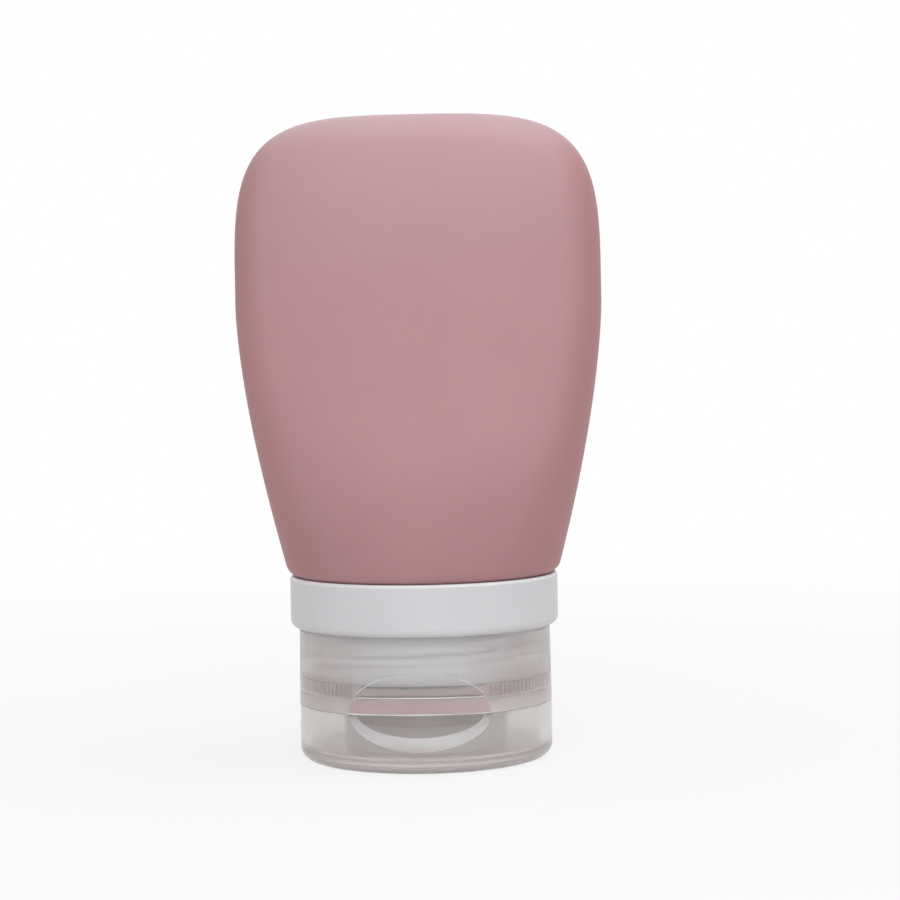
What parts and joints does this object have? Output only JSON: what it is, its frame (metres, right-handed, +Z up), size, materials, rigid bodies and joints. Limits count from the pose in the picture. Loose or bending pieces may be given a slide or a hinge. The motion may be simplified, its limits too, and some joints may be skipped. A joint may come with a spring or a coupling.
{
  "type": "silicone travel bottle",
  "caption": "Squeezable silicone bottle for toiletries, standing upside down on a screw cap with a hinged lid, a thumb notch and a slit valve.",
  "frame": {"origin": "on the bottle's axis, in the flat face of the closed lid that it stands on", "axes": "+Z up along the bottle's axis, towards its closed end; the thumb notch faces -Y and the lid's hinge is at +Y; the bottle is widest along X"},
  "size_m": [0.0576, 0.0434, 0.1012],
  "materials": {
    "silicone": "matte dusty rose silicone, slightly translucent",
    "collar_plastic": "white polypropylene, satin",
    "frosted_plastic": "natural polypropylene, frosted and translucent",
    "clear_plastic": "clear polypropylene, glossy",
    "valve_silicone": "natural silicone, translucent"
  },
  "bodies": {
    "bottle": {"bottle_body": "silicone", "threaded_collar": "collar_plastic"},
    "valve": {"outlet_valve": "valve_silicone", "valve_ring": "collar_plastic"},
    "cap": {"cap_base": "frosted_plastic"},
    "lid": {"flip_lid": "clear_plastic"}
  },
  "joints": [
    {"name": "cap_lift", "type": "slide", "parent": "bottle", "child": "valve", "axis": [0, 0, -1], "range_m": [0, 0.0064]},
    {"name": "cap_turn", "type": "hinge", "parent": "valve", "child": "cap", "pos_m": [0, 0, 0], "axis": [0, 0, -1], "range_deg": [0, 720]},
    {"name": "lid_hinge", "type": "hinge", "parent": "cap", "child": "lid", "pos_m": [0, 0.0202, 0.00905], "axis": [1, 0, 0], "range_deg": [0, 150]}
  ],
  "couplings": [
    {"joint": "cap_lift", "follows": "cap_turn", "m_per_rad": 0.0005093}
  ]
}
